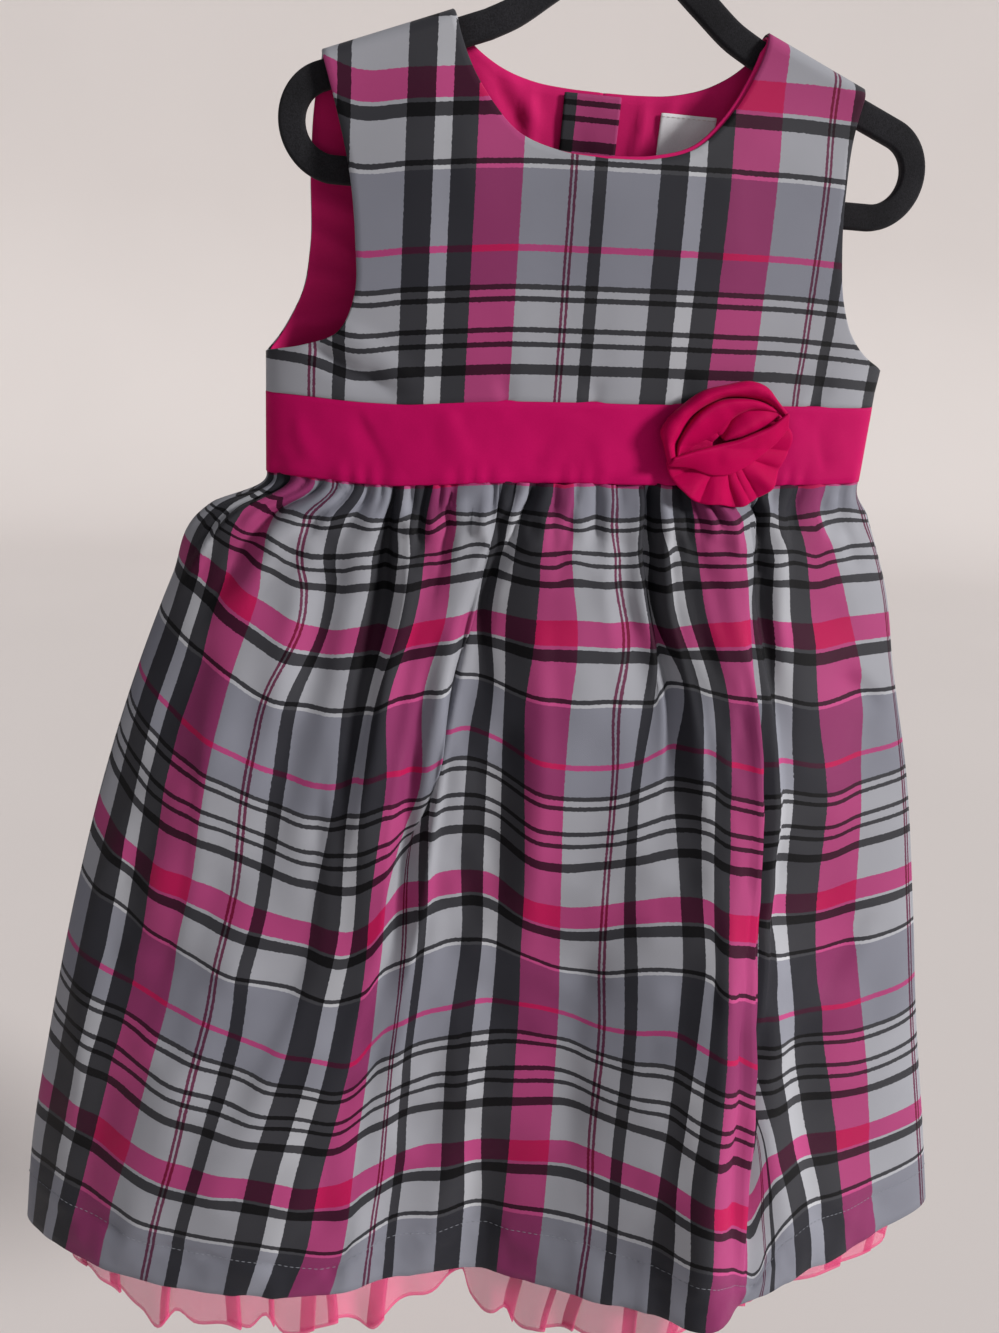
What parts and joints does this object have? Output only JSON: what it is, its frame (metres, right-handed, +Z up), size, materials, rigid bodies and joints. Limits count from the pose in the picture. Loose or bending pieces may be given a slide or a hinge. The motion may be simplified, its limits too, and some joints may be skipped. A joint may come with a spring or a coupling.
{
  "type": "toddler party dress on a hanger",
  "caption": "Sleeveless plaid taffeta party dress with a satin waistband, a folded rosette, a gathered skirt and a net ruffle, hanging flat on a slim flocked child's hanger.",
  "frame": {"origin": "inside top of the hanger's hook, the point that rests on the rail or peg", "axes": "+Z up, +X towards the viewer's right as one looks at the dress's front, -Y out of the dress's front towards the viewer"},
  "size_m": [0.5264, 0.143, 0.7441],
  "materials": {
    "plaid": "grey, black, white and pink yarn-dyed plaid taffeta with a soft sheen",
    "satin": "fuchsia satin",
    "lining": "fuchsia lining, matt",
    "net": "pink net, see-through",
    "label": "white woven tape, blank",
    "button": "pearl grey",
    "flock": "black flock over plastic",
    "chrome": "bright wire"
  },
  "bodies": {
    "root": {"bodice_front": "plaid", "bodice_back_left": "plaid", "bodice_back_right": "plaid", "back_facing": "plaid", "skirt_front": "plaid", "skirt_back": "plaid", "waistband_front": "satin", "waistband_back": "satin", "rosette_ruffle": "satin", "rosette_outer_fold": "satin", "rosette_inner_fold": "satin", "rosette_lip": "satin", "rosette_heart": "satin", "lining_front": "lining", "lining_back_left": "lining", "lining_back_right": "lining", "net_front": "net", "net_back": "net", "neck_label": "label", "back_button_1": "button", "back_button_2": "button", "back_button_3": "button", "hanger_body": "flock", "hanger_neck": "flock", "hanger_hook": "chrome"}
  },
  "joints": []
}
